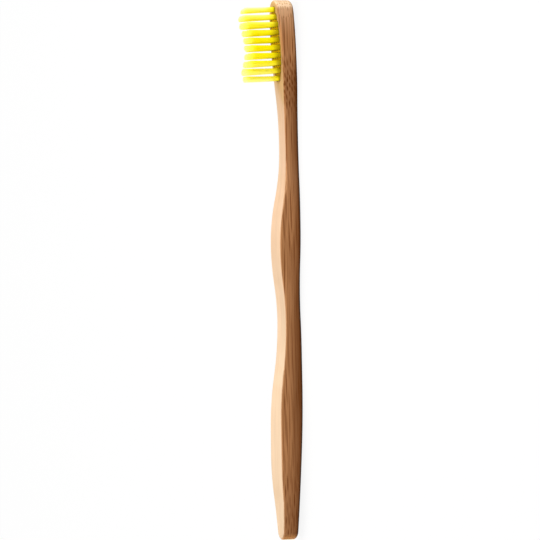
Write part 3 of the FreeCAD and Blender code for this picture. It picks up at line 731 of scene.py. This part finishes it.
def fold_layers(plan, look):
    """Places of the folded filaments in the hole: along the anchor, layer by layer outwards from it."""
    radius = look.filament_diameter / 2
    reach = plan.root_radius - radius
    side = look.anchor_thickness / 2 + radius
    while side < reach:
        half = math.sqrt(reach * reach - side * side)
        count = int(2 * half / look.filament_diameter) + 1
        for number in range(count):
            yield (2 * number / (count - 1) - 1) * half if count > 1 else 0.0, side
        side += look.filament_diameter * LAYER_PITCH


def leg_points(plan, look, row, along, side, sign, dice):
    """Points of one leg of a folded filament, from anchor to tip, and each one's share of the rise."""
    radius = look.filament_diameter / 2
    reach = plan.root_radius - radius
    closed = (side - look.anchor_thickness / 2) * reach / (reach - look.anchor_thickness / 2)
    spread = plan.tip_radius / plan.root_radius * ROW_SPREAD_SHARES[row]
    lean_along = look.tip_lean * ROW_LEAN_SHARES[row] + dice.normal(0, look.tip_scatter)
    lean_across = dice.normal(0, look.tip_scatter)
    outward = math.hypot(along, closed) / reach
    headward = (along / reach + 1) / 2
    tip = plan.length - look.tip_crown * outward ** 2 - abs(dice.normal(0, look.tip_scatter))
    slant = ROW_SLANT_SHARES[row]
    shorter = headward if slant > 0 else 1 - headward
    tip -= look.tip_slant * abs(slant) * shorter ** 2

    points = [plan.point(along, sign * side, -look.anchor_depth),
              plan.point(along, sign * side, look.anchor_height - look.anchor_depth)]
    rises = [0.0, 0.0]
    for share in FREE_SHARES:
        open_share = 1 + (spread - 1) * share
        points.append(plan.point(along * open_share + lean_along * share ** 2,
                                 sign * closed * open_share + lean_across * share ** 2, tip * share))
        rises.append(share)
    return points, rises


def fold_points(plan, look, along, side):
    """The turn under the anchor, from one side of it to the other."""
    drop = min(side, look.seat_depth - look.anchor_depth - look.filament_diameter / 2)
    for share in FOLD_SHARES:
        turn = math.pi * share
        yield plan.point(along, -side * math.cos(turn), -look.anchor_depth - drop * math.sin(turn))


def ring_frames(points):
    """The path's direction at each point, and two directions across it that are carried along untwisted."""
    tangents = np.gradient(points, axis=0)
    tangents /= np.linalg.norm(tangents, axis=1)[:, None]
    first = np.cross(tangents[0], (1.0, 0.0, 0.0))
    frames = []
    for tangent in tangents:
        first = first - tangent * (first @ tangent)
        first = first / np.linalg.norm(first)
        frames.append((first, np.cross(tangent, first)))
    return tangents, frames


def add_filament(mesh_parts, points, rises, tone, look):
    """Adds one filament to the lists of corners, faces and strand coordinates: a tube with rounded ends."""
    corners, faces, strands = mesh_parts
    radius = look.filament_diameter / 2
    sides = look.filament_sides
    points = np.array(points)
    tangents, frames = ring_frames(points)
    rings = [(point, frame_pair, radius, rise) for point, frame_pair, rise in zip(points, frames, rises)]
    front = [(points[0] + tangents[0] * radius * back, frames[0], radius * wide, rises[0])
             for back, wide in reversed(END_SHARES)]
    rear = [(points[-1] - tangents[-1] * radius * back, frames[-1], radius * wide, rises[-1])
            for back, wide in END_SHARES]
    rings[0] = (points[0] + tangents[0] * radius, frames[0], radius, rises[0])
    rings[-1] = (points[-1] - tangents[-1] * radius, frames[-1], radius, rises[-1])
    rings = front + rings + rear

    start = len(corners)
    for centre, (first, second), wide, rise in rings:
        for number in range(sides):
            turn = math.tau * number / sides
            corners.append(centre + (first * math.cos(turn) + second * math.sin(turn)) * wide)
            strands.append((tone, rise))
    for ring in range(len(rings) - 1):
        low = start + ring * sides
        for number in range(sides):
            after = (number + 1) % sides
            faces.append((low + number, low + after, low + sides + after, low + sides + number))
    for apex, rise, low, order in ((points[0], rises[0], start, -1),
                                   (points[-1], rises[-1], len(corners) - sides, 1)):
        corners.append(apex)
        strands.append((tone, rise))
        for number in range(sides):
            pair = (low + number, low + (number + 1) % sides)[::order]
            faces.append((*pair, len(corners) - 1))


def grow_tuft(node, look, material):
    """A bundle of filaments, each folded once round the anchor, in place of the tuft's solid."""
    row = int(node.split("_")[1][1:]) - 1
    column = int(node.split("_")[2][1:])
    dice = np.random.default_rng((SEED, row, column))
    plan = TuftPlan(node, look)
    mesh_parts = ([], [], [])
    for along, side in fold_layers(plan, look):
        left, left_rises = leg_points(plan, look, row, along, side, -1, dice)
        right, right_rises = leg_points(plan, look, row, along, side, 1, dice)
        fold = list(fold_points(plan, look, along, side))
        points = left[::-1] + fold + right
        rises = left_rises[::-1] + [0.0] * len(fold) + right_rises
        outward = (along * math.copysign(1.0, plan.face[0] - FIELD_MIDDLE) / plan.root_radius + 1) / 2
        tone = (1 - TONE_CHANCE) * outward + TONE_CHANCE * dice.random()
        add_filament(mesh_parts, points, rises, tone, look)

    corners, faces, strands = mesh_parts
    mesh = bpy.data.meshes.new(f"filaments_r{row + 1:02d}_c{column}")
    mesh.from_pydata(np.array(corners).tolist(), [], faces)
    mesh.update()
    mesh.polygons.foreach_set("use_smooth", np.ones(len(mesh.polygons), bool))
    strand = mesh.uv_layers.new(name="strand")
    loop_corners = np.empty(len(mesh.loops), np.int32)
    mesh.loops.foreach_get("vertex_index", loop_corners)
    strand.data.foreach_set("uv", np.array(strands, np.float32)[loop_corners].ravel())
    mesh.materials.append(material)
    bundle = bpy.data.objects.new(mesh.name, mesh)
    bpy.context.scene.collection.objects.link(bundle)
    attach(bundle, BODY)
    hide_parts(node)


def sand_handle(node, material):
    """The handle's form with its faces joined, so that it shades as one sanded surface."""
    form = bmesh.new()
    form.from_mesh(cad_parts[node].data)
    bmesh.ops.remove_doubles(form, verts=form.verts, dist=JOIN_DISTANCE)
    for face in form.faces:
        face.smooth = True
    for edge in form.edges:
        edge.smooth = edge.calc_face_angle(math.pi) < SHARP_TURN
    mesh = bpy.data.meshes.new("sanded_handle")
    form.to_mesh(mesh)
    form.free()
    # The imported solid's own normals would keep its faces apart.
    packed_normals = mesh.attributes.get("custom_normal")
    if packed_normals:
        mesh.attributes.remove(packed_normals)
    mesh.materials.clear()
    mesh.materials.append(material)
    handle = bpy.data.objects.new(mesh.name, mesh)
    weighted = handle.modifiers.new("weighted normals", "WEIGHTED_NORMAL")
    weighted.keep_sharp = True
    bpy.context.scene.collection.objects.link(handle)
    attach(handle, BODY)
    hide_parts(node)


def raise_burrs(look, bristles, material):
    """A low burr round each drilled hole, standing on the head's face. It carries the painted shade at the
    tufts' roots.
    """
    corners = []
    faces = []
    size = len(RIM_SHARES)
    for node in tuft_nodes():
        plan = TuftPlan(node, bristles)
        start = len(corners)
        for number in range(RIM_SIDES):
            turn = math.tau * number / RIM_SIDES
            for out, up in RIM_SHARES:
                reach = plan.root_radius + look.rim_width * out
                along = reach * math.cos(turn)
                across = reach * math.sin(turn)
                corners.append(plan.point(along, across, look.rim_height * up))
        for number in range(RIM_SIDES):
            near = start + number * size
            far = start + (number + 1) % RIM_SIDES * size
            for step in range(size):
                after = (step + 1) % size
                faces.append((near + step, near + after, far + after, far + step))
    mesh = bpy.data.meshes.new("hole_burrs")
    mesh.from_pydata(np.array(corners).tolist(), [], faces)
    mesh.update()
    mesh.materials.append(material)
    burrs = bpy.data.objects.new(mesh.name, mesh)
    bpy.context.scene.collection.objects.link(burrs)
    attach(burrs, BODY)


class TOOTHBRUSH_OT_finish_handle(bpy.types.Operator):
    """Gives the handle its sanded bamboo finish"""
    bl_idname = "toothbrush.finish_handle"
    bl_label = "Finish handle"

    def execute(self, context):
        look = context.scene.bamboo_look
        sand_handle("handle", bamboo_material(look))
        raise_burrs(look, context.scene.bristle_look, burr_material(look))
        return {"FINISHED"}


class TOOTHBRUSH_OT_finish_anchors(bpy.types.Operator):
    """Gives the tuft anchors their brass finish"""
    bl_idname = "toothbrush.finish_anchors"
    bl_label = "Finish anchors"

    def execute(self, context):
        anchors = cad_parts["tuft_anchors"]
        anchors.data.materials.clear()
        anchors.data.materials.append(brass_material(context.scene.anchor_look))
        return {"FINISHED"}


class TOOTHBRUSH_OT_grow_tufts(bpy.types.Operator):
    """Grows a bundle of nylon filaments in each hole of the head"""
    bl_idname = "toothbrush.grow_tufts"
    bl_label = "Grow tufts"

    def execute(self, context):
        look = context.scene.bristle_look
        material = nylon_material(look)
        for node in tuft_nodes():
            grow_tuft(node, look, material)
        return {"FINISHED"}


def add_softbox(name, place, size, power):
    """A square softbox that faces the middle of the brush."""
    lamp = bpy.data.lights.new(name, "AREA")
    lamp.shape = "SQUARE"
    lamp.size = size
    lamp.energy = power
    holder = bpy.data.objects.new(name, lamp)
    holder.location = place
    holder.rotation_mode = "QUATERNION"
    holder.rotation_quaternion = Vector(place).to_track_quat("Z", "Y")
    bpy.context.scene.collection.objects.link(holder)


def add_camera(look):
    """A long lens on the brush's side, a little above it, with the head at the top of the picture."""
    back = Vector((0.0, -math.cos(look.elevation), math.sin(look.elevation)))
    level = Vector((0.0, -math.sin(look.elevation), -math.cos(look.elevation)))
    lengthwise = Vector((1.0, 0.0, 0.0))
    up = lengthwise * math.cos(look.roll) + level * math.sin(look.roll)
    right = level * math.cos(look.roll) - lengthwise * math.sin(look.roll)
    lens = bpy.data.cameras.new("camera")
    lens.lens = look.lens
    camera = bpy.data.objects.new("camera", lens)
    distance = look.frame_height * look.lens / lens.sensor_width
    place = Vector((0.0, 0.0, look.aim_height)) + back * distance
    camera.matrix_world = Matrix.Translation(place) @ Matrix((right, up, back)).transposed().to_4x4()
    bpy.context.scene.collection.objects.link(camera)
    bpy.context.scene.camera = camera


def add_floor(look):
    """A wide floor under the brush."""
    corners = [(x * FLOOR_REACH, y * FLOOR_REACH, 0.0) for x, y in ((-1, -1), (1, -1), (1, 1), (-1, 1))]
    mesh = bpy.data.meshes.new("floor")
    mesh.from_pydata(corners, [], [(0, 1, 2, 3)])
    mesh.materials.append(floor_material(look))
    floor = bpy.data.objects.new("floor", mesh)
    floor.location.z = CAD_BOX[0].z - FLOOR_GAP
    bpy.context.scene.collection.objects.link(floor)


def set_world(look):
    """Even studio light, which the camera and reflections see as white."""
    world = bpy.data.worlds.new("studio")
    world.use_nodes = True
    tree = world.node_tree
    tree.nodes.clear()
    levels = {"Value": white_share(tree), "To Min": look.sky_level, "To Max": 1.0}
    strength = add_node(tree, "ShaderNodeMapRange", inputs=levels).outputs[0]
    sky = add_node(tree, "ShaderNodeBackground", inputs={"Color": WHITE, "Strength": strength})
    add_node(tree, "ShaderNodeOutputWorld", inputs={"Surface": sky.outputs[0]})
    bpy.context.scene.world = world


class TOOTHBRUSH_OT_set_stage(bpy.types.Operator):
    """Sets the floor, the studio light and the camera"""
    bl_idname = "toothbrush.set_stage"
    bl_label = "Set stage"

    def execute(self, context):
        look = context.scene.studio_look
        context.scene.view_settings.view_transform = "Standard"
        add_floor(look)
        set_world(look)
        for name, place, size, power in SOFTBOXES:
            add_softbox(name, place, size, getattr(look, power))
        add_camera(look)
        return {"FINISHED"}


class TOOTHBRUSH_PT_make(bpy.types.Panel):
    """Steps that dress the brush"""
    bl_idname = "TOOTHBRUSH_PT_make"
    bl_label = "Toothbrush"
    bl_space_type = "VIEW_3D"
    bl_region_type = "UI"
    bl_category = "Toothbrush"

    def draw(self, context):
        for operator in OPERATORS:
            self.layout.operator(operator.bl_idname)
        for name in LOOKS:
            look = getattr(context.scene, name)
            for key in look.__annotations__:
                self.layout.prop(look, key)


LOOKS = {
    "bamboo_look": BambooLook,
    "bristle_look": BristleLook,
    "anchor_look": AnchorLook,
    "studio_look": StudioLook,
}
OPERATORS = (TOOTHBRUSH_OT_finish_handle, TOOTHBRUSH_OT_finish_anchors, TOOTHBRUSH_OT_grow_tufts,
             TOOTHBRUSH_OT_set_stage)
CLASSES = (*LOOKS.values(), *OPERATORS, TOOTHBRUSH_PT_make)


def register():
    """Registers the classes and hangs the looks on the scene."""
    for made in CLASSES:
        bpy.utils.register_class(made)
    for name, group in LOOKS.items():
        setattr(bpy.types.Scene, name, PointerProperty(type=group))


def unregister():
    """Takes the looks off the scene and the classes out again."""
    for name in LOOKS:
        delattr(bpy.types.Scene, name)
    for made in reversed(CLASSES):
        bpy.utils.unregister_class(made)


def main():
    """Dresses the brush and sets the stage."""
    register()
    bpy.ops.toothbrush.finish_handle()
    bpy.ops.toothbrush.finish_anchors()
    bpy.ops.toothbrush.grow_tufts()
    bpy.ops.toothbrush.set_stage()
    bpy.context.view_layer.update()


if __name__ == "__main__":
    main()
